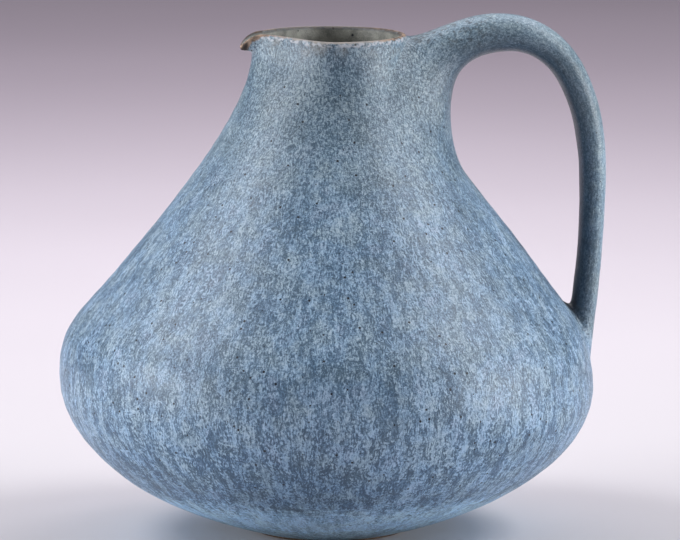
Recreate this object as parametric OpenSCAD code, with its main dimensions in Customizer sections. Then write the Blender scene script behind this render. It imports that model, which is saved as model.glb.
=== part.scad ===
// Stoneware pitcher: a squat cone on a small turned foot, with a pulled pouring lip and a loop handle.
// The fired pot is rigid. It is drawn as the pieces of clay that a potter makes and joins with slip.
// The origin is the centre of the foot's contact ring: +Z up, handle towards +X, pouring lip towards -X.

/* [Vessel] */
// Height of the rim above the table
rim_height = 188; // [178:1:200]
// Diameter of the belly at its widest
belly_d = 200.4; // [190:0.2:210]
// Height of the widest point
belly_height = 57; // [52:1:62]
// Outside diameter of the mouth
mouth_d = 57.8; // [54:0.2:62]

/* [Foot] */
// Outside diameter of the foot ring
foot_d = 57.2; // [52:0.2:62]
// Width of the flat ring that touches the table
foot_face = 6.5; // [5:0.5:8]
// Depth of the turned recess inside the foot ring
foot_recess = 3; // [2.5:0.5:3.5]

/* [Clay] */
// Thickness of the wall where it meets the foot
wall_foot = 7; // [6:0.2:8]
// Thickness of the wall at the belly
wall_belly = 4.6; // [4:0.2:5]
// Thickness of the wall at the rim
wall_rim = 2.6; // [2.2:0.2:3]

/* [Pouring lip] */
// How far round the rim the lip reaches, each side of its tip, in degrees
lip_spread = 46; // [40:1:52]
// How far the rim is bent outwards at the tip, in degrees
lip_bend = 84; // [60:1:88]
// Height of the strip of wall that is bent
lip_height = 7.4; // [6.5:0.1:8]

/* [Handle] */
// Height of the top of the handle's arch
handle_top = 195; // [192:1:198]
// Distance from the pot's axis to the outermost point of the handle
handle_reach = 104.4; // [103.4:0.2:106]
// Thickness of the strap on top of the arch
strap_arch = 14.1; // [12:0.1:16]
// Thickness of the strap halfway down
strap_middle = 9.8; // [8:0.1:11]
// Width of the strap on top of the arch
strap_width_arch = 19; // [16:1:22]
// Width of the strap just above its lower end
strap_width_end = 14; // [12:1:18]

/* [Hidden] */
$fn = 96;

glaze_blue = "#6c88a9";
glaze_dark = "#4c6078";
bare_clay = "#8a6a50";

belly_r = belly_d / 2;
mouth_r = mouth_d / 2;
foot_r = foot_d / 2;
upper = rim_height - belly_height;     // height of everything above the widest point
edge = 1;                              // height of the foot's outer edge
curve_steps = 12;                      // straight steps in each curve of the outline
neck_share = 1 / 3;                    // where along the upper curve the neck collar starts

// Outline of the outer surface, from the foot to the straight top of the neck: three Bezier curves in (r, z).
underside = [[foot_r, edge],
             [foot_r + 0.63 * (belly_r - foot_r), 0.225 * belly_height],
             [belly_r, 0.605 * belly_height],
             [belly_r, belly_height]];
shoulder_end = [0.783 * belly_r, belly_height + 0.326 * upper];
shoulder = [[belly_r, belly_height],
            [belly_r, belly_height + 0.16 * upper],
            shoulder_end + 0.6 * [24.5, -31.8],
            shoulder_end];
neck = [shoulder_end,
        shoulder_end + [-24.5, 31.8],
        [mouth_r, belly_height + 0.786 * upper],
        [mouth_r, belly_height + 0.954 * upper]];

function bezier(p, t) = pow(1 - t, 3) * p[0] + 3 * pow(1 - t, 2) * t * p[1]
                      + 3 * (1 - t) * t * t * p[2] + t * t * t * p[3];
function tangent(p, t) = let (d = pow(1 - t, 2) * (p[1] - p[0]) + 2 * (1 - t) * t * (p[2] - p[1])
                                + t * t * (p[3] - p[2])) d / norm(d);
function wall_at(z) = lookup(z, [[edge, wall_foot], [0.2 * belly_height, wall_belly + 0.6],
                                 [belly_height, wall_belly], [rim_height, wall_rim]]);
function inside(p, t) = let (q = bezier(p, t), d = tangent(p, t)) q + wall_at(q[1]) * [-d[1], d[0]];
function steps(from, to, n) = [for (i = [0:n]) from + (to - from) * i / n];
function outer_line(p, from = 0, to = 1) = [for (t = steps(from, to, curve_steps)) bezier(p, t)];
function inner_line(p, from = 0, to = 1) = [for (t = steps(to, from, curve_steps)) inside(p, t)];

// Radius of the outer surface at height z
outline = concat(outer_line(underside), outer_line(shoulder), outer_line(neck), [[mouth_r, rim_height]]);
outline_by_height = [for (p = outline) [p[1], p[0]]];
function outer_r(z) = lookup(z, outline_by_height);

// ---- Foot and thrown walls: solids of revolution ----

module foot_ring() {
    outer_face = foot_r - edge;
    inner_face = outer_face - foot_face;
    color(bare_clay) rotate_extrude()
        polygon([[inner_face - 0.6, foot_recess], [inner_face - 0.6, 0.6], [inner_face, 0],
                 [outer_face, 0], [foot_r, edge], [foot_r, foot_recess]]);
}

module base_bowl() {
    floor_top = inside(underside, 0)[1];
    color(glaze_blue) rotate_extrude()
        polygon(concat([[0, foot_recess], [foot_r, foot_recess]],
                       outer_line(underside), inner_line(underside), [[0, floor_top]]));
}

module cone_wall() {
    outer = concat(outer_line(shoulder), outer_line(neck, 0.05, neck_share));
    inner = concat(inner_line(neck, 0.05, neck_share), inner_line(shoulder));
    color(glaze_blue) rotate_extrude() polygon(concat(outer, inner));
}

// ---- Neck with the pouring lip: one grid of points round the axis ----

lip_start = rim_height - lip_height;              // the wall is bent above this height
lip_curve = 4;                                    // height of the bent strip that takes the curve
mid_r = mouth_r - wall_rim / 2;                   // middle of the wall at the top of the neck
neck_round = 72;                                  // points round the neck

// How strongly the lip is pulled at an angle from its tip: 1 at the tip, 0 past its spread
function lip_pull(angle) = abs(angle) >= lip_spread ? 0 : pow(1 - pow(angle / lip_spread, 2), 2);

// Bends a point (r, z) of the wall outwards by an angle in degrees, keeping the wall's thickness
function bend(p, angle) =
    p[1] <= lip_start || angle < 0.5 ? p :
    let (h = p[1] - lip_start,
         along = min(h, lip_curve),
         turned = angle * along / lip_curve,
         radius = lip_curve / (angle * PI / 180),
         straight = h - along,
         off = p[0] - mid_r)
    [mid_r + radius * (1 - cos(turned)) + straight * sin(angle) + off * cos(turned),
     lip_start + radius * sin(turned) + straight * cos(angle) - off * sin(turned)];

// The wall's section: up the outside, over the rounded rim, and down the inside
rim_round = wall_rim / 2;
rim_arc = [for (a = [0:30:180]) [mid_r + rim_round * cos(a), rim_height - rim_round + rim_round * sin(a)]];
straight_top = steps(lip_start, rim_height - rim_round, 5);
neck_outside = [for (p = outer_line(neck, neck_share)) if (p[1] < lip_start - 0.5) p];
neck_inside = [for (p = inner_line(neck, neck_share)) if (p[1] < lip_start - 0.5) p];
neck_section = concat(neck_outside,
                      [for (i = [0:4]) [mid_r + rim_round, straight_top[i]]],
                      rim_arc,
                      [for (i = [4:-1:0]) [mid_r - rim_round, straight_top[i]]],
                      neck_inside);

module neck_collar() {
    m = len(neck_section);
    points = [for (i = [0:neck_round - 1])
                let (a = 360 * i / neck_round, pull = lip_pull(a - 180))
                for (p = neck_section)
                    let (q = bend(p, lip_bend * pull)) [q[0] * cos(a), q[0] * sin(a), q[1]]];
    faces = [for (i = [0:neck_round - 1], j = [0:m - 1])
                let (i2 = (i + 1) % neck_round, j2 = (j + 1) % m)
                each [[i * m + j, i * m + j2, i2 * m + j2], [i * m + j, i2 * m + j2, i2 * m + j]]];
    color(glaze_blue) polyhedron(points, faces);
}

// ---- Handle: elliptical sections between an outer and an inner line in the XZ plane ----

arch_x = 63;                                      // the top of the arch, from the pot's axis
arch_inner_top = handle_top - strap_arch;
inner_reach = handle_reach - strap_middle;
top_foot = [mouth_r - 0.4, rim_height - 1.7];     // where the outer line leaves the neck
low_foot = [99.2, 65];                            // where it meets the belly
outer_curves = [[top_foot, [38, rim_height - 1.2], [50.7, handle_top], [arch_x, handle_top]],
                [[arch_x, handle_top], [92, handle_top], [handle_reach, 167], [handle_reach, 133]],
                [[handle_reach, 133], [handle_reach, 115], [101.3, 85], low_foot]];
inner_curves = [[[49, 137], [41, 153], [44, arch_inner_top], [67.5, arch_inner_top]],
                [[67.5, arch_inner_top], [84, arch_inner_top], [inner_reach, 161.5], [inner_reach, 129]],
                [[inner_reach, 129], [inner_reach, 101], [93.3, 96], [91.8, 84]]];

// Half the strap's width at s, which runs from 0 at the neck to 3 at the belly
half_width_at = [[0, 15], [0.25, 12.6], [0.5, 11], [1, strap_width_arch / 2], [1.5, 8.6],
                 [2.4, strap_width_end / 2], [2.75, strap_width_end / 2 + 0.8], [3, 9.5]];
ring_points = 24;

function on_curves(curves, s) = let (k = min(floor(s), 2)) bezier(curves[k], s - k);
function section(s, size = 1) =
    let (o = on_curves(outer_curves, s), i = on_curves(inner_curves, s),
         c = (o + i) / 2, v = (o - i) / 2, w = lookup(s, half_width_at))
    [for (k = [0:ring_points - 1]) let (a = 360 * k / ring_points)
        [c[0] + size * v[0] * cos(a), size * w * sin(a), c[1] + size * v[1] * cos(a)]];
// The same points moved along X onto the vessel's surface
function on_vessel(ring) = [for (p = ring) [sqrt(pow(outer_r(p[2]), 2) - p[1] * p[1]), p[1], p[2]]];
// A patch of the vessel's surface under a section, as rings that shrink to almost nothing
function footprint(s) = [for (size = [0.02, 0.35, 0.7, 1]) on_vessel(section(s, size))];

module loft(rings) {
    last = len(rings) - 1;
    cap = [for (k = [0:ring_points - 1]) k];
    sides = [for (i = [0:last - 1], k = [0:ring_points - 1])
                let (k2 = (k + 1) % ring_points, a = i * ring_points, b = a + ring_points)
                each [[a + k, b + k2, a + k2], [a + k, b + k, b + k2]]];
    polyhedron([for (r = rings) each r],
               concat([cap], sides, [[for (k = [ring_points - 1:-1:0]) last * ring_points + k]]));
}

strap_start = 0.5;
strap_end = 2.72;

module handle_top_root() {
    color(glaze_blue) loft(concat(footprint(0), [for (s = [0.2, 0.35, strap_start]) section(s)]));
}

module handle() {
    color(glaze_dark) loft([for (s = steps(strap_start, strap_end, 30)) section(s)]);
}

module handle_bottom_root() {
    rings = concat([for (s = steps(strap_end, 2.92, 2)) section(s)],
                   [for (i = [3:-1:0]) footprint(3)[i]]);
    color(glaze_blue) loft(rings);
}

foot_ring();
base_bowl();
cone_wall();
neck_collar();
handle_top_root();
handle();
handle_bottom_root();
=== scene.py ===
# A stoneware pitcher with a hare's-fur glaze: a thrown vessel, a pulled pouring lip and a loop handle.
# Shapes are worked out in millimetres in the CAD frame: the foot stands on z = 0, the handle is on +X and the
# lip on -X.

import math

import bmesh
import bpy
import numpy as np
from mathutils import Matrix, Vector


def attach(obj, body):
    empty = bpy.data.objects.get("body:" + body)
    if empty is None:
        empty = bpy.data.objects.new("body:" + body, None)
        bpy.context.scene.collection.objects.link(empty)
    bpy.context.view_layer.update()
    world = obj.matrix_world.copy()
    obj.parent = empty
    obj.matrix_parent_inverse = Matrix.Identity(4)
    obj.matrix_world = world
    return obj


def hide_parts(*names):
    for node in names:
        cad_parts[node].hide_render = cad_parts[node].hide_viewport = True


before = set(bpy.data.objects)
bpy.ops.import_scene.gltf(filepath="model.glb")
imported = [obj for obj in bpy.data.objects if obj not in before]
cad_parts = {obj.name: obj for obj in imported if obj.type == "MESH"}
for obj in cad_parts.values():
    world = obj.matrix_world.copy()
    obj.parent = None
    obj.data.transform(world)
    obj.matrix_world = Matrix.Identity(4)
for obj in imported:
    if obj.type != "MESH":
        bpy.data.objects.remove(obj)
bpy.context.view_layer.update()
scene = bpy.context.scene
scene.view_settings.view_transform = "Standard"
MM = 0.001

# ---------------------------------------------------------------- camera

CAMERA_DISTANCE = 2400.0
CAMERA_AZIMUTH = -6.0  # degrees; the lip side comes towards the camera
CAMERA_ELEVATION = 8.5
AIM = (3.95, 0.0, 98.8)  # measured to the right of, and above, the foot's centre as the camera sees it


def direction(azimuth, elevation):
    """The direction from the pot at two angles in degrees. Azimuth 0 is the front, 90 the handle's side."""
    a, e = math.radians(azimuth), math.radians(elevation)
    return Vector((math.sin(a) * math.cos(e), -math.cos(a) * math.cos(e), math.sin(e)))


def make_camera():
    back = direction(CAMERA_AZIMUTH, CAMERA_ELEVATION)
    a = math.radians(CAMERA_AZIMUTH)
    right = Vector((math.cos(a), math.sin(a), 0.0))
    target = right * AIM[0] + Vector((0, 0, AIM[2]))
    data = bpy.data.cameras.new("camera")
    data.sensor_width = 36.0
    data.lens = 338.0
    data.clip_start = 0.05
    data.clip_end = 100.0
    camera = bpy.data.objects.new("camera", data)
    scene.collection.objects.link(camera)
    camera.location = (target + back * CAMERA_DISTANCE) * MM
    camera.rotation_euler = back.to_track_quat("Z", "Y").to_euler()
    scene.camera = camera


make_camera()

# ---------------------------------------------------------------- curves


def bezier(points, t):
    """Points at t on a cubic Bezier curve; t may be an array."""
    p = np.asarray(points, float)
    t = np.asarray(t, float)[..., None]
    return (1 - t) ** 3 * p[0] + 3 * (1 - t) ** 2 * t * p[1] + 3 * (1 - t) * t**2 * p[2] + t**3 * p[3]


def smoothstep(low, high, x):
    t = np.clip((np.asarray(x, float) - low) / (high - low), 0, 1)
    return t * t * (3 - 2 * t)


def even_points(line, step):
    """The same polyline with points spaced evenly, about one step apart."""
    length = np.concatenate([[0], np.cumsum(np.linalg.norm(np.diff(line, axis=0), axis=1))])
    n = max(2, int(round(length[-1] / step)) + 1)
    at = np.linspace(0, length[-1], n)
    return np.stack([np.interp(at, length, line[:, k]) for k in range(line.shape[1])], axis=1)


def unit(v):
    return v / np.maximum(np.linalg.norm(v, axis=-1, keepdims=True), 1e-9)


# ---------------------------------------------------------------- the vessel's outline (r, z)

FOOT_R = 28.6
FOOT_EDGE = 1.0  # height of the foot's outer edge
RECESS = 3.0  # depth of the turned recess under the bowl
BELLY_R = 100.2
BELLY_Z = 57.0
MOUTH_R = 28.9
RIM_Z = 188.0
SHOULDER_END = (78.5, 99.7)
UNDERSIDE = [(FOOT_R, FOOT_EDGE), (73.7, 12.8), (BELLY_R, 34.5), (BELLY_R, BELLY_Z)]
SHOULDER = [(BELLY_R, BELLY_Z), (BELLY_R, 78.0), (93.7, 80.0), SHOULDER_END]
NECK = [SHOULDER_END, (54.0, 131.5), (MOUTH_R, 160.0), (MOUTH_R, 182.0)]
NECK_SEAM = 1 / 3  # where along the NECK curve the collar begins

LIP_START = 180.6  # the wall is bent outwards above this height to make the pouring lip
LIP_CURVE = 4.0  # height of the bent strip that takes the curve
LIP_SPREAD = 29.0  # degrees round the rim, each side of the lip's tip
LIP_BEND = 84.0  # degrees outwards at the tip
RIM_ROUND = 1.3  # radius of the rounded rim, half the wall's thickness there
WALL_MID = 27.6  # radius of the middle of the wall under the rim


def wall_thickness(z):
    return np.interp(z, [FOOT_EDGE, 11.4, BELLY_Z, RIM_Z], [7.0, 5.2, 4.6, 2.6])


def outer_curve(points, start=0.0, end=1.0, step=0.9):
    return even_points(bezier(points, np.linspace(start, end, 400)), step)


def inner_curve(points, start=0.0, end=1.0, step=2.4):
    """The inside of the wall, from its end back to its start."""
    line = bezier(points, np.linspace(start, end, 400))
    along = unit(np.gradient(line, axis=0))
    inward = np.stack([-along[:, 1], along[:, 0]], axis=1)
    return even_points(line + inward * wall_thickness(line[:, 1:2]), step)[::-1]


PROFILE = np.concatenate([bezier(curve, np.linspace(0, 1, 200)) for curve in (UNDERSIDE, SHOULDER, NECK)]
                         + [[(MOUTH_R, RIM_Z)]])


def outer_radius(z):
    return np.interp(z, PROFILE[:, 1], PROFILE[:, 0])


# ---------------------------------------------------------------- uneven, hand-thrown surface


def ripple(p, wavelength, seed):
    """A smooth wandering value between about -1 and 1 at points p, from a few crossing waves."""
    value = np.zeros(p.shape[:-1])
    for k in range(5):
        a, b = 2.4 * k + seed, 1.3 * k + 0.7 * seed
        d = np.array([math.cos(a) * math.cos(b), math.sin(a) * math.cos(b), math.sin(b)])
        value += np.sin(p @ d * (2 * math.pi / wavelength) * (0.8 + 0.13 * k) + 1.9 * k + seed)
    return value / 3.2


def thrown(theta, r, z):
    """A point of the vessel from its angle, radius and height, with the unevenness of a thrown pot."""
    r = r + 0.12 * smoothstep(6, 20, z) * np.cos(2 * theta + 0.8)  # slightly oval
    p = np.stack([r * np.cos(theta), r * np.sin(theta), z + 0 * r], axis=-1)
    lump = 0.22 * ripple(p, 70, 1.0) + 0.10 * ripple(p, 26, 4.0)
    rings = 0.05 * np.sin(z * 0.95 + 0.5 * np.sin(theta) + 1.3 * np.sin(z * 0.13))
    grow = smoothstep(2, 14, z) * (lump + rings)
    p[..., 0] += grow * np.cos(theta)
    p[..., 1] += grow * np.sin(theta)
    # As in the photograph, the belly leans towards the lip, and its lowest part is fuller on that side
    p[..., 0] -= 1.9 * np.exp(-(((z - 74) / 24) ** 2)) * smoothstep(20, 50, z)
    p[..., 0] -= 0.8 * np.exp(-(((z - 17) / 9) ** 2)) * (1 - np.cos(theta)) / 2
    return p


def from_lip(theta):
    """Degrees round the rim from the lip's tip."""
    return np.degrees(np.abs(np.angle(np.exp(1j * (theta - math.pi)))))


def lip_pull(theta):
    """How strongly the rim is pulled out: 1 at the lip's tip, 0 past its spread."""
    return np.clip(1 - (from_lip(theta) / LIP_SPREAD) ** 2, 0, 1) ** 2


def pinch(theta, p):
    """Draws the neck in beside the lip, as a potter's fingers do, and lifts the rim a little there."""
    off = from_lip(theta)
    near_top = smoothstep(158, 187, p[..., 2])
    p[..., 1] *= 1 - 0.48 * smoothstep(88, 20, off) * near_top
    p[..., 2] += 0.9 * smoothstep(92, 40, off) * smoothstep(4, 26, off) * smoothstep(178, 187, p[..., 2])
    return p


def bend_lip(theta, r, z):
    """Bends the top of the wall outwards at the lip and keeps its thickness."""
    angle = np.maximum(np.radians(LIP_BEND) * lip_pull(theta), 1e-4)
    h = z - LIP_START
    along = np.clip(h, 0, LIP_CURVE)
    straight = np.maximum(h, 0) - along
    turned = angle * along / LIP_CURVE
    radius = LIP_CURVE / angle
    off = r - WALL_MID
    new_r = WALL_MID + radius * (1 - np.cos(turned)) + straight * np.sin(angle) + off * np.cos(turned)
    new_z = LIP_START + radius * np.sin(turned) + straight * np.cos(angle) - off * np.sin(turned)
    return np.where(h > 0, new_r, r), np.where(h > 0, new_z, z)


# ---------------------------------------------------------------- mesh building


def grid_normals(points):
    """Normals of a grid of points [row, column]; the columns close on themselves."""
    along = np.gradient(points, axis=0)
    side = np.roll(points, -1, axis=1) - np.roll(points, 1, axis=1)
    return unit(np.cross(side, along))


def ring_quads(a, b, columns):
    """Quads between two closed rings of points, from the numbers of their first points."""
    k = np.arange(columns)
    k2 = (k + 1) % columns
    return [list(q) for q in np.stack([a + k, a + k2, b + k2, b + k], axis=-1)]


def grid_faces(rows, columns):
    """Quads between neighbouring rows of a grid of points; rows is a list of row numbers."""
    return [q for a, b in zip(rows[:-1], rows[1:]) for q in ring_quads(a * columns, b * columns, columns)]


def fan(first, centre, columns):
    """Triangles from a closed ring of points, numbered from first, to a point at its centre."""
    return [[centre, first + k, first + (k + 1) % columns] for k in range(columns)]


def face_outwards(mesh):
    """Turns every face of a closed mesh to look outwards."""
    shell = bmesh.new()
    shell.from_mesh(mesh)
    bmesh.ops.recalc_face_normals(shell, faces=shell.faces)
    shell.to_mesh(mesh)
    shell.free()


def make_piece(name, points, faces, normals, values, node, materials, which=None):
    """One closed piece of the pitcher, which replaces the CAD node of the same shape."""
    mesh = bpy.data.meshes.new(name)
    mesh.from_pydata((points * MM).tolist(), [], [[int(i) for i in f] for f in faces])
    face_outwards(mesh)
    for key, value in values.items():
        kind, field = ("FLOAT_VECTOR", "vector") if value.ndim == 2 else ("FLOAT", "value")
        mesh.attributes.new(key, kind, "POINT").data.foreach_set(field, value.astype(np.float32).ravel())
    mesh.polygons.foreach_set("use_smooth", [True] * len(mesh.polygons))
    for material in materials:
        mesh.materials.append(material)
    if which is not None:
        mesh.polygons.foreach_set("material_index", which)
    mesh.normals_split_custom_set_from_vertices(normals.tolist())
    piece = bpy.data.objects.new(name, mesh)
    scene.collection.objects.link(piece)
    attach(piece, "root")
    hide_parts(node)
    return piece


def downhill(normals):
    """The way that glaze runs down a surface with these normals."""
    pull = np.array([0.0, 0.0, -1.0])
    return unit(pull - (normals @ pull)[..., None] * normals)


# ---------------------------------------------------------------- the vessel: one section, cut into pieces

AROUND = 480
THETA = np.linspace(0, 2 * math.pi, AROUND, endpoint=False)


def lathe(outline):
    """Turns an outline of (r, z) points round the axis, with the pulled lip and the unevenness."""
    r = np.repeat(outline[:, :1], AROUND, axis=1)
    z = np.repeat(outline[:, 1:], AROUND, axis=1)
    theta = np.broadcast_to(THETA, r.shape)
    r, z = bend_lip(theta, r, z)
    return pinch(theta, thrown(theta, r, z))


def straight_line(a, b, step):
    return even_points(np.array([a, b], float), step)


underside_out = outer_curve(UNDERSIDE)
shoulder_out = np.concatenate([outer_curve(SHOULDER)[:-1], outer_curve(NECK, 0, NECK_SEAM)])
neck_out = np.concatenate([
    outer_curve(NECK, NECK_SEAM, 1)[:-3],
    straight_line((WALL_MID + RIM_ROUND, LIP_START), (WALL_MID + RIM_ROUND, RIM_Z - RIM_ROUND), 0.45)[:-1],
])
arc = np.radians(np.linspace(0, 180, 15))
rim = np.stack([WALL_MID + RIM_ROUND * np.cos(arc), RIM_Z - RIM_ROUND + RIM_ROUND * np.sin(arc)], axis=1)
neck_in = np.concatenate([
    straight_line((WALL_MID - RIM_ROUND, RIM_Z - RIM_ROUND), (WALL_MID - RIM_ROUND, LIP_START), 0.45)[1:],
    inner_curve(NECK, NECK_SEAM, 0.97, 1.2),
])
shoulder_in = np.concatenate([inner_curve(NECK, 0.06, NECK_SEAM)[:-1], inner_curve(SHOULDER)])
floor_in = inner_curve(UNDERSIDE)
floor_end = floor_in[-1]
floor_in = np.concatenate([floor_in, straight_line(floor_end, (1.5, floor_end[1]), 2.4)[1:]])

# The rows of the whole section, and where each piece begins and ends on the outside and the inside
section = np.concatenate([underside_out[:-1], shoulder_out[:-1], neck_out, rim,
                          neck_in, shoulder_in[1:], floor_in[1:]])
belly_row = len(underside_out) - 1
seam_row = belly_row + len(shoulder_out) - 1
crest_row = seam_row + len(neck_out) + len(rim) // 2
inner_seam_row = seam_row + len(neck_out) + len(rim) + len(neck_in) - 1
inner_belly_row = inner_seam_row + len(shoulder_in) - 1
vessel = lathe(section)
vessel_normals = grid_normals(vessel)
if vessel_normals[belly_row, 0, 0] < 0:
    vessel_normals = -vessel_normals
arc_length = np.concatenate([[0], np.cumsum(np.linalg.norm(np.diff(section, axis=0), axis=1))])
from_rim = np.repeat((arc_length - arc_length[crest_row])[:, None], AROUND, axis=1)


def vessel_rows(rows):
    """Points, normals and glaze values of some rows of the vessel."""
    points = vessel[rows].reshape(-1, 3)
    normals = vessel_normals[rows].reshape(-1, 3)
    return points, normals, {"flow": downhill(normals), "from_rim": from_rim[rows].ravel()}


def wall_piece(name, rows, node):
    """A piece of the vessel from some rows of its section; the last row joins the first."""
    points, normals, values = vessel_rows(rows)
    faces = grid_faces([*range(len(rows)), 0], AROUND)
    return make_piece(name, points, faces, normals, values, node, [glaze])


def bowl_piece(name, rows, node):
    """The bowl: its glazed floor closes at a point on the axis, and so does the bare recess under it."""
    points, normals, values = vessel_rows(rows)
    floor_row = (len(rows) - 1) * AROUND
    floor_centre = len(points)
    step_edge, step_top, recess_edge, recess_centre = (floor_centre + 1 + k * AROUND for k in range(4))
    middle = vessel[rows[-1]].mean(axis=0)
    edge = np.stack([np.cos(THETA), np.sin(THETA)], axis=1)
    base = [np.column_stack([r * edge, np.full(AROUND, z)])
            for r, z in ((FOOT_R, FOOT_EDGE), (FOOT_R, RECESS), (9.0, RECESS - 0.1))]
    base = np.concatenate([*base, [[0, 0, RECESS - 0.25]]])

    glazed = grid_faces(range(len(rows)), AROUND) + fan(floor_row, floor_centre, AROUND)
    glazed += ring_quads(step_edge, 0, AROUND)
    under = ring_quads(step_top, step_edge, AROUND) + ring_quads(recess_edge, step_top, AROUND)
    under += fan(recess_edge, recess_centre, AROUND)

    # The base's first two rings face outwards and the rest of it faces down
    base_normals = np.tile([[0.0, 0.0, -1.0]], (len(base), 1))
    base_normals[:2 * AROUND] = np.tile(np.column_stack([edge, np.zeros(AROUND)]), (2, 1))
    points = np.concatenate([points, [middle], base])
    normals = np.concatenate([normals, [[0, 0, 1.0]], base_normals])
    values = {
        "flow": np.concatenate([values["flow"], np.tile([[1.0, 0, 0]], (1 + len(base), 1))]),
        "from_rim": np.concatenate([values["from_rim"], [200.0], np.full(len(base), -200.0)]),
    }
    which = [0] * len(glazed) + [1] * len(under)
    return make_piece(name, points, glazed + under, normals, values, node,
                      [glaze, clay], which)


# ---------------------------------------------------------------- the handle: rings between two lines (x, z)

OUTER_LINE = [
    [(32.5, 186.4), (37.7, 187.6), (50.7, 194.9), (63.1, 194.9)],
    [(63.1, 194.9), (92.5, 194.9), (104.6, 167.0), (104.6, 133.5)],
    [(104.6, 133.5), (104.6, 115.4), (101.3, 84.5), (99.2, 64.0)],
]
INNER_LINE = [
    [(44.3, 153.4), (44.3, 175.6), (54.3, 180.8), (68.1, 180.8)],
    [(68.1, 180.8), (84.1, 180.8), (94.7, 161.6), (94.7, 129.3)],
    [(94.7, 129.3), (94.7, 99.1), (93.3, 96.1), (91.9, 84.5)],
]
RING = 96
# The angle of each point of a ring: 0 is on the outer line, and half a turn is on the inner line
ANGLE = np.linspace(0, 2 * math.pi, RING, endpoint=False)


def line_between(curves, start, end):
    """The stretch of a line from the point nearest start to the point nearest end, evenly spaced."""
    line = np.concatenate([bezier(c, np.linspace(0, 1, 300)) for c in curves])
    a = np.argmin(np.linalg.norm(line - start, axis=1))
    b = np.argmin(np.linalg.norm(line - end, axis=1))
    return even_points(line[a:b + 1], 0.1)


strap_outer = line_between(OUTER_LINE, (46.0, 191.6), (102.2, 94.0))
strap_inner = line_between(INNER_LINE, (49.6, 174.3), (92.9, 93.0))


def strap_point(s):
    """The ring of the strap at s, 0 at its upper end and 1 at its lower end."""
    o = np.array([np.interp(s, np.linspace(0, 1, len(strap_outer)), strap_outer[:, k]) for k in (0, 1)])
    i = np.array([np.interp(s, np.linspace(0, 1, len(strap_inner)), strap_inner[:, k]) for k in (0, 1)])
    half = np.interp(s, [0, 0.12, 0.3, 0.6, 1], [10.2, 9.6, 9.0, 8.2, 7.2])
    c, v = (o + i) / 2, (o - i) / 2
    ca, sa = np.cos(ANGLE), np.sin(ANGLE)
    ca, sa = np.sign(ca) * np.abs(ca) ** 0.88, np.sign(sa) * np.abs(sa) ** 0.88
    return np.stack([c[0] + v[0] * ca, half * sa, c[1] + v[1] * ca], axis=1)


def on_vessel(theta, z):
    """Points of the vessel's outside and its normals there."""
    def at(t, h):
        return thrown(t, outer_radius(h), h)
    p = at(theta, z)
    across = at(theta + 0.002, z) - at(theta - 0.002, z)
    up = at(theta, z + 0.1) - at(theta, z - 0.1)
    return p, unit(np.cross(across, up))


def by_side(outer, side, inner):
    """A value for each point of a ring, from its values at the outer line, the sides and the inner line."""
    c = np.cos(ANGLE)
    return side + np.where(c > 0, outer - side, inner - side) * c**2


def root(ring, away, foot, foot_normal, middle, reach, spread, lift, rows):
    """Rows from the strap's end ring down to the vessel. Each point of the ring follows its own Bezier curve.

    away is the strap's direction there, and reach and spread are the lengths of the curves' two handles. Each
    curve arrives from the foot's middle, and lift is its angle above the vessel's surface in degrees.
    """
    inward = middle - foot
    inward = unit(inward - (inward * foot_normal).sum(axis=1, keepdims=True) * foot_normal)
    lift = np.radians(lift)[:, None]
    arrive = np.cos(lift) * inward + np.sin(lift) * foot_normal
    curve = [ring, ring + away * reach[:, None], foot + arrive * spread[:, None], foot]
    return bezier(curve, np.linspace(0, 1, rows)[:, None])


strap = np.stack([strap_point(s) for s in np.linspace(0, 1, 190)])

# Upper root: a broad fin that fairs the strap into the neck, just under the rim
top_theta = np.radians(57) * np.sin(ANGLE) * (1 - 0.12 * np.cos(ANGLE))
top_z = 161.0 + 26.1 * np.cos(ANGLE)
top_foot, top_foot_normal = on_vessel(top_theta, top_z)
top_middle = on_vessel(np.zeros(RING), np.full(RING, 160.0))[0]
top_root = root(strap[0], unit(strap[0] - strap[1]), top_foot, top_foot_normal, top_middle,
                by_side(8.0, 14.0, 9.9), by_side(3.0, 13.0, 12.0), by_side(70.0, 7.0, 0.0), 64)

# Lower root: the strap's end laid on the belly, with a tight fillet under the finger gap
low_theta = np.radians(5.6) * np.sin(ANGLE)
low_z = 73.8 - 12.0 * np.cos(ANGLE)
low_foot, low_foot_normal = on_vessel(low_theta, low_z)
low_middle = on_vessel(np.zeros(RING), np.full(RING, 74.0))[0]
low_root = root(strap[-1], unit(strap[-1] - strap[-2]), low_foot, low_foot_normal, low_middle,
                by_side(20.0, 12.0, 9.5), by_side(3.5, 3.0, 4.0), by_side(12.0, 10.0, 22.0), 48)

handle = np.concatenate([top_root[::-1], strap[1:-1], low_root])
handle_normals = grid_normals(handle)
middle_row = len(handle) // 2
if (handle_normals[middle_row, 0] * (handle[middle_row, 0] - handle[middle_row, RING // 2])).sum() < 0:
    handle_normals = -handle_normals
handle_normals[0] = top_foot_normal
handle_normals[-1] = low_foot_normal
rows_from_end = np.minimum(np.arange(len(handle)), np.arange(len(handle))[::-1])[:, None]
lumps = 0.16 * ripple(handle, 38, 2.0) + 0.07 * ripple(handle, 15, 5.0)
handle = handle + handle_normals * (lumps * smoothstep(0, 40, rows_from_end))[..., None]

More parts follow.
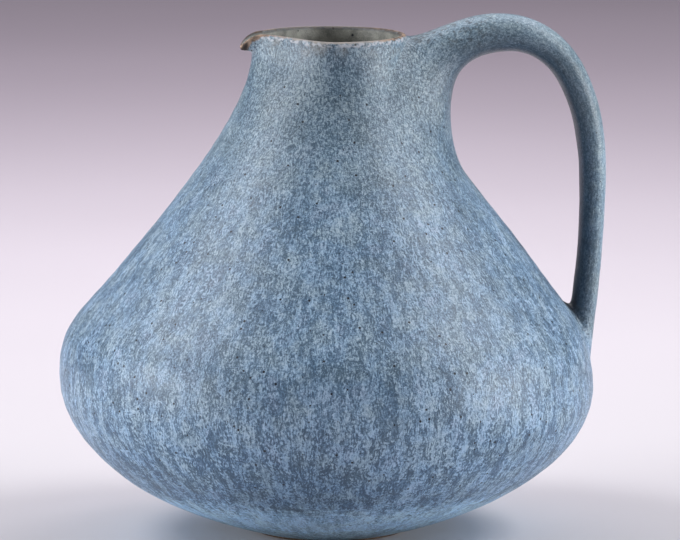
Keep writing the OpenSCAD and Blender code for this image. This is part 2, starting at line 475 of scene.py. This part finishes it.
# The glaze runs along the strap, and over the roots straight up or down, whichever goes the strap's way
along = np.gradient(handle, axis=0)
along = unit(along - (along * handle_normals).sum(axis=-1, keepdims=True) * handle_normals)
on_strap = smoothstep(6, 60, rows_from_end)[..., None]
sign = np.where(along[..., 2:] > 0, -1, 1)
handle_flow = unit(on_strap * along + (1 - on_strap) * downhill(handle_normals) * sign)
top_end = len(top_root) - 1
low_end = len(handle) - len(low_root)
row_number = np.arange(len(handle))
grip_at = smoothstep(0.25 * top_end, 1.25 * top_end, row_number) * smoothstep(0, 40, row_number[::-1])


def sunk_cap(theta, z):
    """Rings that close a root's foot just under the vessel's surface, from the middle outwards."""
    middle = z.mean()
    rings = [on_vessel(k * theta, middle + k * (z - middle)) for k in (0.04, 0.3, 0.6, 0.85, 1.0)]
    return np.stack([p - 0.5 * n for p, n in rings]), np.stack([n for p, n in rings])


def handle_piece(name, first, last, node):
    """A piece of the handle from row first to row last, closed at both ends."""
    rows, normals, flow = (a[first:last + 1] for a in (handle, handle_normals, handle_flow))
    grip = grip_at[first:last + 1]
    if first == 0:
        cap, cap_normals = sunk_cap(top_theta, top_z)
        rows, normals = np.concatenate([cap, rows]), np.concatenate([cap_normals, normals])
        flow, grip = np.concatenate([flow[:1]] * len(cap) + [flow]), np.pad(grip, (len(cap), 0))
    if last == len(handle) - 1:
        cap, cap_normals = sunk_cap(low_theta, low_z)
        rows, normals = np.concatenate([rows, cap[::-1]]), np.concatenate([normals, cap_normals[::-1]])
        flow, grip = np.concatenate([flow] + [flow[-1:]] * len(cap)), np.pad(grip, (0, len(cap)))
    count = len(rows)
    faces = grid_faces(range(count), RING)
    faces += fan(0, count * RING, RING) + fan((count - 1) * RING, count * RING + 1, RING)
    grip = np.repeat(grip, RING)
    ends = [[0.0, 0.0, 1.0]] * 2
    values = {
        "flow": np.concatenate([flow.reshape(-1, 3), ends]),
        "from_rim": np.full(count * RING + 2, -100.0),
        "grip": np.append(grip, [0, 0]),
        "outward": np.append(grip * np.tile(np.cos(ANGLE), count), [0, 0]),
    }
    points = np.concatenate([rows.reshape(-1, 3), [rows[0].mean(axis=0)], [rows[-1].mean(axis=0)]])
    shade = np.concatenate([normals.reshape(-1, 3), ends])
    return make_piece(name, points, faces, shade, values, node, [glaze])


# ---------------------------------------------------------------- material building


WHITE = (1.0, 1.0, 1.0, 1.0)


class Nodes:
    """Short names for making and joining shader nodes."""

    def __init__(self, tree):
        self.tree = tree

    def add(self, kind, inputs=(), **settings):
        node = self.tree.nodes.new(kind)
        for key, value in settings.items():
            setattr(node, key, value)
        for key, value in dict(inputs).items():
            self.fill(node.inputs[key], value)
        return node

    def fill(self, socket, value):
        """Joins a socket to another node's output, or gives it a plain value."""
        if isinstance(value, bpy.types.NodeSocket):
            self.tree.links.new(value, socket)
        else:
            socket.default_value = value

    def math(self, operation, a, b=0.0, c=0.0):
        return self.add("ShaderNodeMath", {0: a, 1: b, 2: c}, operation=operation).outputs[0]

    def product(self, first, *others):
        for other in others:
            first = self.math("MULTIPLY", first, other)
        return first

    def plus(self, total, value, gain):
        """The total with gain times the value added to it."""
        return self.math("MULTIPLY_ADD", value, gain, total)

    def centred(self, value):
        """A value from 0 to 1 moved to run from -0.5 to 0.5."""
        return self.math("SUBTRACT", value, 0.5)

    def vector(self, operation, a, b=(0, 0, 0), scale=None):
        inputs = {0: a, 1: b}
        if scale is not None:
            inputs["Scale"] = scale
        return self.add("ShaderNodeVectorMath", inputs, operation=operation).outputs[0]

    def distance(self, a, b):
        return self.add("ShaderNodeVectorMath", {0: a, 1: b}, operation="DISTANCE").outputs["Value"]

    def point(self):
        """The place on the object, in millimetres."""
        return self.vector("SCALE", self.add("ShaderNodeTexCoord").outputs["Object"], scale=1000.0)

    def noise(self, at, size, detail=0.0, roughness=0.5, output="Fac"):
        """Noise whose features are about size millimetres across, at a place in millimetres."""
        inputs = {"Vector": at, "Scale": 1.0 / size, "Detail": detail, "Roughness": roughness}
        return self.add("ShaderNodeTexNoise", inputs).outputs[output]

    def dots(self, at, spacing, outer, inner):
        """Scattered dots in cells of a given spacing: 1 within the inner radius and 0 past the outer one."""
        inputs = {"Vector": at, "Scale": 1.0 / spacing}
        away = self.add("ShaderNodeTexVoronoi", inputs).outputs["Distance"]
        return self.step(away, outer / spacing, inner / spacing)

    def step(self, value, low, high, to_low=0.0, to_high=1.0):
        inputs = {"Value": value, "From Min": low, "From Max": high, "To Min": to_low, "To Max": to_high}
        return self.add("ShaderNodeMapRange", inputs, interpolation_type="SMOOTHSTEP").outputs[0]

    def mix(self, factor, a, b, blend="MIX"):
        node = self.add("ShaderNodeMix", {0: factor}, data_type="RGBA", blend_type=blend)
        self.fill(node.inputs[6], a)
        self.fill(node.inputs[7], b)
        return node.outputs[2]

    def tint(self, colour, factor, tint):
        """A colour multiplied by a tint where the factor is 1."""
        return self.mix(1.0, colour, self.mix(factor, WHITE, tint), "MULTIPLY")

    def attribute(self, name, output):
        return self.add("ShaderNodeAttribute", attribute_name=name).outputs[output]

    def ramp(self, factor, stops):
        node = self.add("ShaderNodeValToRGB", {"Fac": factor})
        elements = node.color_ramp.elements
        while len(elements) < len(stops):
            elements.new(0.5)
        for element, (place, colour) in zip(elements, stops):
            element.position, element.color = place, colour
        return node.outputs[0]


def srgb(code):
    """A linear colour from a code such as 8fa9c8."""
    values = [int(code[i:i + 2], 16) / 255 for i in (0, 2, 4)]
    return (*[v / 12.92 if v <= 0.04045 else ((v + 0.055) / 1.055) ** 2.4 for v in values], 1.0)


def new_material(name):
    material = bpy.data.materials.new(name)
    material.use_nodes = True
    tree = material.node_tree
    tree.nodes.clear()
    n = Nodes(tree)
    shader = n.add("ShaderNodeBsdfPrincipled")
    output = n.add("ShaderNodeOutputMaterial")
    tree.links.new(shader.outputs[0], output.inputs[0])
    return material, n, shader


# ---------------------------------------------------------------- the glaze


class Place:
    """Where a point of the pot lies, in the terms that its glaze depends on. Lengths are in millimetres."""

    def __init__(self, n):
        self.n = n
        self.point = n.point()
        xyz = n.add("ShaderNodeSeparateXYZ", {0: self.point})
        self.x, self.height = xyz.outputs[0], xyz.outputs[2]
        # The way that the glaze runs, and the length along the wall from the rim's crest (below 0 outside)
        self.flow = n.attribute("flow", "Vector")
        self.from_rim = n.attribute("from_rim", "Fac")
        # 1 on the strap and 0 on the vessel, and 1 on the strap's outer face and -1 on its inner face
        self.grip = n.attribute("grip", "Fac")
        self.outward = n.attribute("outward", "Fac")

        # The runs wander a little from straight downhill
        wander = n.vector("SUBTRACT", n.noise(self.point, 4.0, 1.0, output="Color"), (0.5, 0.5, 0.5))
        self.bent = n.vector("ADD", self.point, n.vector("SCALE", wander, scale=2.2))

        self.rag = self.stain(2.2, 31.0)
        ragged_height = n.plus(self.height, n.centred(self.rag), 16.0)
        self.neck = n.step(self.height, 112, 170)
        self.low = n.step(self.height, 75, 28)
        self.band = n.product(n.step(ragged_height, 24, 15), n.step(self.from_rim, 20, 0))
        self.heel = n.step(ragged_height, 10, 6)

    def stain(self, size, seed, detail=2.0):
        """Soft blotches about size millimetres across."""
        return self.n.noise(self.n.vector("ADD", self.point, (seed, 61.0, -seed)), size, detail, 0.55)

    def runs(self, width, step, count, seed, detail=1.0, down=0.0):
        """Noise drawn out along the flow: the mean of several samples taken down the surface."""
        n = self.n
        total = None
        for k in range(count):
            shift = n.vector("SCALE", self.flow, scale=down + step * (k - (count - 1) / 2))
            at = n.vector("ADD", n.vector("ADD", self.bent, shift), (seed, 0.3 * seed, -seed))
            sample = n.noise(at, width, detail, 0.6)
            total = sample if total is None else n.math("ADD", total, sample)
        return n.math("MULTIPLY_ADD", total, 1.0 / count, -0.5)


def hares_fur(n, at, net, grain, patch):
    """How light the glaze is, from about 0 to 1, and its curtains, which the relief uses too."""
    threads = at.runs(0.6, 0.45, 3, 11.0)
    strokes = at.runs(0.85, 0.8, 5, 71.0)

    # Ragged curtains of lighter glaze, with a light hem along their lower edge
    fringe = n.plus(n.product(net, 0.2), threads, 0.4)
    curtain = (3.2, 1.9, 4, 47.0, 2.0)
    ragged = n.math("ADD", fringe, at.runs(*curtain))
    ragged_below = n.math("ADD", fringe, at.runs(*curtain, down=0.9))
    curtains = n.step(ragged, -0.06, 0.065, -0.5, 0.5)
    hem = n.product(n.step(ragged, -0.005, 0.015), n.step(ragged_below, 0.012, -0.012))

    # Low on the belly the runs are strong; on the neck the net is
    low_or_neck = n.math("SUBTRACT", at.low, at.neck)
    # Painted shade: the ground is darker low down, away from the handle's side,
    # because the photograph is darker there
    skirt_shade = n.product(n.step(at.height, 50, 28), n.step(at.x, 50, 10))
    value = n.plus(n.step(skirt_shade, 0, 1, 0.48, 0.41), threads, 2.4)
    value = n.plus(value, strokes, n.step(at.low, 0, 1, 0.5, 2.5))
    value = n.plus(value, curtains, n.step(low_or_neck, -1, 1, 0.12, 0.5))
    value = n.plus(value, net, n.step(low_or_neck, -1, 1, 2.7, 0.75))
    value = n.plus(value, hem, n.step(at.low, 0, 1, 0.08, 0.3))
    value = n.plus(n.plus(value, grain, 0.8), patch, 0.6)

    # The lower band and the handle are calmer. The band is lighter, and the heel under it is darker
    calm = n.product(n.step(at.band, 0, 1, 1.0, 0.6), n.step(at.grip, 0, 1, 1.0, 0.58))
    value = n.math("MULTIPLY_ADD", n.centred(value), calm, 0.5)
    return n.plus(n.plus(value, at.heel, -0.22), at.band, 0.26), curtains


def add_drifts(n, at, colour):
    """Broad drifts of olive and blue, a bluer lower belly, and a greyer neck and handle."""
    drift = n.ramp(at.stain(9.0, 90.0, 3.0), [(0.34, (0.99, 1.0, 0.95, 1)), (0.46, (0.97, 1.0, 0.99, 1)),
                                              (0.56, (0.91, 1.0, 1.05, 1)), (0.68, (0.99, 1.0, 1.03, 1))])
    colour = n.mix(n.step(at.neck, 0, 1, 1.0, 0.5), colour, n.mix(1.0, colour, drift, "MULTIPLY"))
    colour = n.tint(colour, at.low, (0.94, 1.0, 1.04, 1))
    return n.tint(colour, n.math("MAXIMUM", at.neck, at.grip), (0.93, 0.90, 0.82, 1))


def add_photographed_shade(n, at, colour):
    """Darker and lighter places as in the photograph, held in the colour, so they stay in any other light.

    On the strap's faces and at two places near the front, they are painted shade and painted light. One
    picture can't tell whether they are the glaze's own or only the photograph's light and shade.
    The rest changes with height.
    """
    # Painted shade and light: dark and bluish on the strap's inner face, light on its outer face
    face = n.mix(n.step(at.outward, -0.6, 0.6), (0.74, 0.79, 0.86, 1), (0.91, 0.87, 0.83, 1))
    colour = n.tint(colour, at.grip, face)
    # It goes darker downwards, below 140 mm on the strap and below 40 mm on the vessel.
    # The outward term adds painted shade on the strap's inner face and painted light on its outer face
    above_shade = n.plus(at.height, at.grip, -100.0)
    tone = n.plus(n.step(above_shade, 40, -20, 0.97, 0.76), at.outward, 0.64)
    # The strap has a factor of its own: 1.12 from 125 to 140 mm up, 0.8 from 160 to 176 mm, about 1 on the arch
    bend = n.product(n.step(at.height, 140, 160, 1.12, 0.8), n.step(at.height, 176, 189, 1.0, 1.3),
                     n.step(at.height, 90, 125, 0.84, 1.0))
    on_strap = n.math("MULTIPLY_ADD", at.grip, n.math("SUBTRACT", bend, 1.0), 1.0)
    colour = n.vector("SCALE", colour, scale=n.product(tone, on_strap))

    # Two broad patches of painted shade near the front: under the rim, and low on the belly
    for centre, inner, outer, tint in (((-9.0, -29.0, 173.0), 8, 31, (0.84, 0.85, 0.87, 1)),
                                       ((-19.0, -82.0, 30.0), 8, 42, (0.76, 0.79, 0.81, 1))):
        colour = n.tint(colour, n.step(n.distance(at.point, centre), outer, inner), tint)
    return colour


def add_pinholes(n, at, colour):
    """Small dark pits, and finer specks. Returns the pits too."""
    pit = n.product(n.dots(at.point, 5.0, 0.56, 0.4), n.step(at.grip, 0.6, 0.2))
    speck = n.product(n.dots(at.point, 4.3, 0.38, 0.22), 0.7)
    return n.mix(n.math("MAXIMUM", pit, speck), colour, (0.004, 0.008, 0.018, 1)), pit


def add_rim(n, at, colour):
    """The rim: a bare edge, beads and a stain under it, and dark edges. Returns the bare edge too."""
    from_crest = n.math("ABSOLUTE", at.from_rim)
    ragged_rim = n.plus(from_crest, n.centred(at.rag), 2.6)
    outside = n.step(at.from_rim, 0.5, -0.5)

    # A faint brown stain, and whitish beads just under the edge
    stained = n.product(n.step(from_crest, 9, 2), n.step(at.stain(9.0, 40.0), 0.42, 0.62), outside, 0.45)
    colour = n.mix(stained, colour, srgb("7d7468"))
    beads = n.product(n.step(ragged_rim, 3.0, 2.0), n.step(n.noise(at.point, 1.5, 1.0), 0.44, 0.56))
    colour = n.mix(n.product(beads, outside, 0.8), colour, srgb("bcbfc8"))

    # The bare edge: grey near the middle of the mouth, browner towards the lip and the handle
    clay_tone = n.ramp(n.noise(at.point, 3.0, 3.0, 0.65), [(0.34, srgb("4f443b")), (0.46, srgb("7e6a5c")),
                                                           (0.56, srgb("9f8673")), (0.68, srgb("bea693"))])
    tan = n.step(n.math("ABSOLUTE", n.math("ADD", at.x, 2.0)), 12, 25, 0.25, 1.0)
    at_lip = n.product(n.step(at.x, -24, -30), outside)
    bare = n.step(n.plus(ragged_rim, at_lip, -1.6), 1.6, 0.8)
    colour = n.mix(bare, colour, n.mix(tan, srgb("a3a2a1"), clay_tone))

    # Dark brown under the lip's tip, and a dark inner edge of the rim
    under_tip = n.product(n.step(at.x, -29.8, -31.6), n.step(at.from_rim, -6, -4),
                     n.step(at.from_rim, 0.0, -1.2))
    colour = n.mix(n.product(under_tip, 0.95), colour, srgb("231810"))
    dark_inner_edge = n.product(n.step(at.from_rim, 0.1, 0.6), n.step(at.from_rim, 2.4, 1.3))
    return n.mix(n.product(dark_inner_edge, 0.7), colour, srgb("3c3530")), bare


def add_handle_marks(n, at, colour):
    """Painted shade in the fold under the finger gap, a brownish tail, and dark spots near the top."""
    # Painted shade, dark olive-brown, in the fold under the finger gap
    fold = n.step(n.plus(n.distance(at.point, (92.0, 0.0, 81.0)), at.rag, 6.0), 13, 6)
    colour = n.mix(n.product(fold, 0.7), colour, srgb("42413a"))
    tail = n.step(n.plus(n.distance(at.point, (100.5, 0.0, 64.0)), at.rag, 9.0), 11, 4)
    colour = n.mix(n.product(tail, 0.4), colour, srgb("867c77"))
    on_top = n.product(n.step(at.height, 180, 187), n.step(at.x, 29, 33), n.step(at.x, 72, 50))
    spots = n.product(on_top, n.step(at.from_rim, -60, -90), n.step(at.stain(1.7, 70.0), 0.48, 0.62))
    return n.mix(n.product(spots, 0.55), colour, srgb("2c2f33"))


def make_glaze():
    """Hare's-fur glaze: light-blue runs on a darker ground, with a bare-edged rim and a plain lower band."""
    material, n, shader = new_material("hares_fur_glaze")
    at = Place(n)
    net = n.centred(n.noise(at.bent, 0.88, 3.0, 0.8))
    grain = n.centred(n.noise(at.point, 0.42, 1.0, 0.7))
    patch = n.centred(at.stain(14.0, 5.0))
    value, curtains = hares_fur(n, at, net, grain, patch)
    colour = n.ramp(value, [(0.0, srgb("465b72")), (0.25, srgb("5a7289")), (0.5, srgb("748ca5")),
                            (0.75, srgb("95acc4")), (1.0, srgb("aec2d7"))])
    colour = add_drifts(n, at, colour)
    colour = add_photographed_shade(n, at, colour)
    # Painted light from below on the lower band, on top of its own lighter glaze; the heel under it is darker
    colour = n.tint(colour, at.band, (1.62, 1.64, 1.56, 1))
    colour = n.tint(colour, at.heel, (0.94, 0.94, 0.86, 1))

    # Inside, the glaze is a plain grey with an olive cast
    inner = n.ramp(n.math("ADD", at.stain(5.0, 12.0), n.product(grain, 0.6)),
                   [(0.3, srgb("747672")), (0.5, srgb("92938d")), (0.7, srgb("a9a9a3"))])
    colour = n.mix(n.step(at.from_rim, 0.6, 2.2), colour, inner)

    colour, pit = add_pinholes(n, at, colour)
    colour, bare = add_rim(n, at, colour)
    colour = add_handle_marks(n, at, colour)
    n.tree.links.new(colour, shader.inputs["Base Color"])

    # Satin surface with a slight relief of the runs, and pits at the pinholes
    gloss = n.plus(n.plus(n.math("MULTIPLY_ADD", net, 0.2, 0.41), bare, 0.3), patch, 0.25)
    n.tree.links.new(gloss, shader.inputs["Roughness"])
    relief = n.plus(n.plus(n.plus(grain, pit, -1.5), net, 0.8), curtains, 0.25)
    bump = n.add("ShaderNodeBump", {"Height": relief, "Strength": 0.7, "Distance": 0.00012})
    n.tree.links.new(bump.outputs[0], shader.inputs["Normal"])
    shader.inputs["IOR"].default_value = 1.5
    return material


def make_clay():
    """Unglazed stoneware, brown and slightly gritty."""
    material, n, shader = new_material("bare_clay")
    spots = n.noise(n.point(), 1.2, 3.0, 0.7)
    broad = n.noise(n.point(), 9.0, 2.0, 0.6)
    colour = n.ramp(n.plus(n.product(spots, 0.6), broad, 0.5),
                    [(0.38, srgb("43382f")), (0.54, srgb("65564a")), (0.7, srgb("857262"))])
    n.tree.links.new(colour, shader.inputs["Base Color"])
    n.tree.links.new(n.step(spots, 0.3, 0.7, 0.75, 0.95), shader.inputs["Roughness"])
    bump = n.add("ShaderNodeBump", {"Height": spots, "Strength": 0.6, "Distance": 0.0002})
    n.tree.links.new(bump.outputs[0], shader.inputs["Normal"])
    return material


glaze = make_glaze()
clay = make_clay()

# ---------------------------------------------------------------- the pieces

wall_piece("neck_collar_glazed", [*range(seam_row, inner_seam_row + 1)], "neck_collar")
wall_piece("cone_wall_glazed", [*range(belly_row, seam_row + 1), *range(inner_seam_row, inner_belly_row + 1)],
           "cone_wall")
bowl_piece("base_bowl_glazed", [*range(0, belly_row + 1), *range(inner_belly_row, len(section))], "base_bowl")
handle_piece("handle_top_root_glazed", 0, top_end, "handle_top_root")
handle_piece("handle_strap_glazed", top_end, low_end, "handle")
handle_piece("handle_bottom_root_glazed", low_end, len(handle) - 1, "handle_bottom_root")

FOOT_IN = 21.1
FOOT_SECTION = [(FOOT_IN - 0.6, RECESS), (FOOT_IN - 0.6, 1.0), (FOOT_IN - 0.2, 0.3), (FOOT_IN + 0.6, 0.0),
                (FOOT_R - 1.6, 0.0), (FOOT_R - 0.6, 0.25), (FOOT_R - 0.1, 0.9), (FOOT_R - 0.05, RECESS)]


def make_foot():
    edge = np.stack([np.cos(THETA), np.sin(THETA)], axis=1)
    grid = np.stack([np.column_stack([r * edge, np.full(AROUND, z)]) for r, z in FOOT_SECTION])
    faces = grid_faces([*range(len(grid)), 0], AROUND)
    normals = grid_normals(grid)
    if normals[1, 0, 0] > 0:  # row 1 is on the ring's inner side, so it has to face the axis
        normals = -normals
    return make_piece("foot_ring_clay", grid.reshape(-1, 3), faces, normals.reshape(-1, 3), {},
                      "foot_ring", [clay])


make_foot()

# ---------------------------------------------------------------- floor and lights


def make_floor():
    mesh = bpy.data.meshes.new("floor")
    mesh.from_pydata([(-30, -30, 0), (30, -30, 0), (30, 30, 0), (-30, 30, 0)], [], [(0, 1, 2, 3)])
    floor = bpy.data.objects.new("floor", mesh)
    scene.collection.objects.link(floor)
    material, n, shader = new_material("pale_floor")
    colour = n.ramp(n.noise(n.point(), 400.0, 2.0), [(0.2, srgb("d3d0d5")), (0.8, srgb("d9d6db"))])
    n.tree.links.new(colour, shader.inputs["Base Color"])
    shader.inputs["Roughness"].default_value = 0.9
    mesh.materials.append(material)


LIGHTS_AIM = 95  # height in millimetres of the point on the axis that the lights face


def softbox(name, azimuth, elevation, distance, width, height, power, spread=90):
    """A rectangular light that faces the pot and that the camera doesn't see; lengths are in metres."""
    away = direction(azimuth, elevation)
    data = bpy.data.lights.new(name, "AREA")
    data.shape = "RECTANGLE"
    data.size, data.size_y = width, height
    data.energy = power
    data.spread = math.radians(spread)
    light = bpy.data.objects.new(name, data)
    scene.collection.objects.link(light)
    light.visible_camera = False
    light.location = Vector((0, 0, LIGHTS_AIM)) * MM + away * distance
    light.rotation_euler = away.to_track_quat("Z", "Y").to_euler()
    return light


make_floor()
softbox("left_low", -80, 9, 1.5, 0.7, 0.55, 4.0)
softbox("left_high", -100, 48, 1.5, 0.8, 0.5, 2.75)
softbox("right_low", 72, 8, 1.5, 0.9, 0.5, 3.95)
softbox("right_high", 86, 48, 1.5, 1.1, 0.5, 3.2)
softbox("back_right", 150, 45, 1.5, 0.6, 0.6, 0.7)
softbox("back_fill", 195, 35, 1.6, 0.9, 0.9, 0.9)

# A light behind the pot that shines away from it, on the floor that fills the background
backdrop = softbox("backdrop", 180, 62, 1.3, 1.6, 0.5, 17, spread=180)
backdrop.rotation_euler = Vector((0, -0.8, 0.6)).to_track_quat("Z", "Y").to_euler()
backdrop.data.color = (1.0, 0.86, 1.0)

world = bpy.data.worlds.new("studio")
scene.world = world
world.use_nodes = True
world.node_tree.nodes["Background"].inputs[0].default_value = (0.92, 0.9, 1.0, 1.0)
world.node_tree.nodes["Background"].inputs[1].default_value = 0.065
